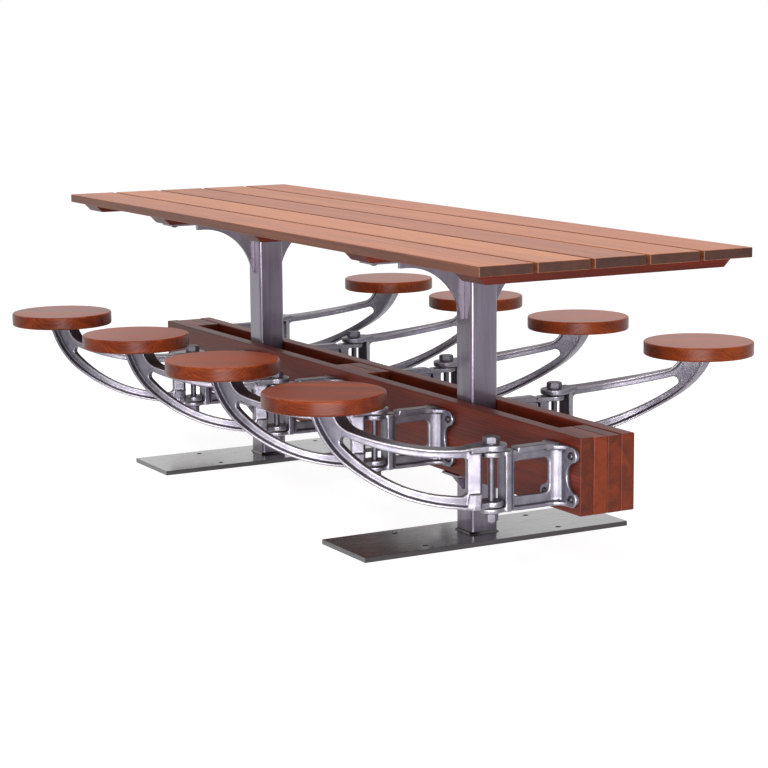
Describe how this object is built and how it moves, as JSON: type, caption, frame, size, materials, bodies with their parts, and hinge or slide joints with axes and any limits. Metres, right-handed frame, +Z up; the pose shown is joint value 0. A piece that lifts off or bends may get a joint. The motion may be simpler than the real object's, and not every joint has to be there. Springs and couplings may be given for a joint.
{
  "type": "table with attached swing-out seats",
  "caption": "Plank-top pedestal table with a boxed timber beam below, carrying round seats on cast arms that swing out on upright bolts.",
  "frame": {"origin": "on the floor, midway between the two posts under the middle of the top", "axes": "+X along the table, +Y across it towards the back row of seats, +Z up"},
  "size_m": [2.424, 1.4987, 0.762],
  "materials": {
    "top_wood": "oiled hardwood",
    "batten_wood": "oiled hardwood",
    "beam_wood": "oiled hardwood",
    "seat_wood": "varnished hardwood",
    "cast_metal": "clear-coated casting",
    "frame_steel": "clear-coated mill steel",
    "hardware": "zinc plated"
  },
  "bodies": {
    "table": {"base_plate_left": "frame_steel", "base_plate_right": "frame_steel", "beam_plank_back": "beam_wood", "beam_plank_front": "beam_wood", "beam_spacers": "beam_wood", "beam_tabs": "frame_steel", "hinge_bolts": "hardware", "hinge_bracket_back_1": "cast_metal", "hinge_bracket_back_2": "cast_metal", "hinge_bracket_back_3": "cast_metal", "hinge_bracket_back_4": "cast_metal", "hinge_bracket_front_1": "cast_metal", "hinge_bracket_front_2": "cast_metal", "hinge_bracket_front_3": "cast_metal", "hinge_bracket_front_4": "cast_metal", "hinge_nuts": "hardware", "post_gussets": "frame_steel", "post_left": "frame_steel", "post_right": "frame_steel", "top_batten_1": "batten_wood", "top_batten_2": "batten_wood", "top_batten_3": "batten_wood", "top_batten_4": "batten_wood", "top_batten_5": "batten_wood", "top_crossbar_left": "frame_steel", "top_crossbar_right": "frame_steel", "top_plank_1": "top_wood", "top_plank_2": "top_wood", "top_plank_3": "top_wood", "top_plank_4": "top_wood", "top_plank_5": "top_wood"},
    "seat_arm_front_1": {"swing_arm_front_1": "cast_metal", "seat_front_1": "seat_wood"},
    "seat_arm_front_2": {"swing_arm_front_2": "cast_metal", "seat_front_2": "seat_wood"},
    "seat_arm_front_3": {"swing_arm_front_3": "cast_metal", "seat_front_3": "seat_wood"},
    "seat_arm_front_4": {"swing_arm_front_4": "cast_metal", "seat_front_4": "seat_wood"},
    "seat_arm_back_1": {"swing_arm_back_1": "cast_metal", "seat_back_1": "seat_wood"},
    "seat_arm_back_2": {"swing_arm_back_2": "cast_metal", "seat_back_2": "seat_wood"},
    "seat_arm_back_3": {"swing_arm_back_3": "cast_metal", "seat_back_3": "seat_wood"},
    "seat_arm_back_4": {"swing_arm_back_4": "cast_metal", "seat_back_4": "seat_wood"}
  },
  "joints": [
    {"name": "swing_front_1", "type": "hinge", "parent": "table", "child": "seat_arm_front_1", "pos_m": [-0.546, -0.2657, 0.331], "axis": [0, 0, 1], "range_deg": [-57.8, 32.2]},
    {"name": "swing_front_2", "type": "hinge", "parent": "table", "child": "seat_arm_front_2", "pos_m": [0, -0.2657, 0.331], "axis": [0, 0, 1], "range_deg": [-55.9, 34.1]},
    {"name": "swing_front_3", "type": "hinge", "parent": "table", "child": "seat_arm_front_3", "pos_m": [0.546, -0.2657, 0.331], "axis": [0, 0, 1], "range_deg": [-53.6, 36.4]},
    {"name": "swing_front_4", "type": "hinge", "parent": "table", "child": "seat_arm_front_4", "pos_m": [1.092, -0.2657, 0.331], "axis": [0, 0, 1], "range_deg": [-54.7, 35.3]},
    {"name": "swing_back_1", "type": "hinge", "parent": "table", "child": "seat_arm_back_1", "pos_m": [-1.092, 0.2657, 0.331], "axis": [0, 0, 1], "range_deg": [-71.7, 18.3]},
    {"name": "swing_back_2", "type": "hinge", "parent": "table", "child": "seat_arm_back_2", "pos_m": [-0.546, 0.2657, 0.331], "axis": [0, 0, 1], "range_deg": [-72.6, 17.4]},
    {"name": "swing_back_3", "type": "hinge", "parent": "table", "child": "seat_arm_back_3", "pos_m": [0, 0.2657, 0.331], "axis": [0, 0, 1], "range_deg": [-70.2, 19.8]},
    {"name": "swing_back_4", "type": "hinge", "parent": "table", "child": "seat_arm_back_4", "pos_m": [0.546, 0.2657, 0.331], "axis": [0, 0, 1], "range_deg": [-66.8, 23.2]}
  ]
}
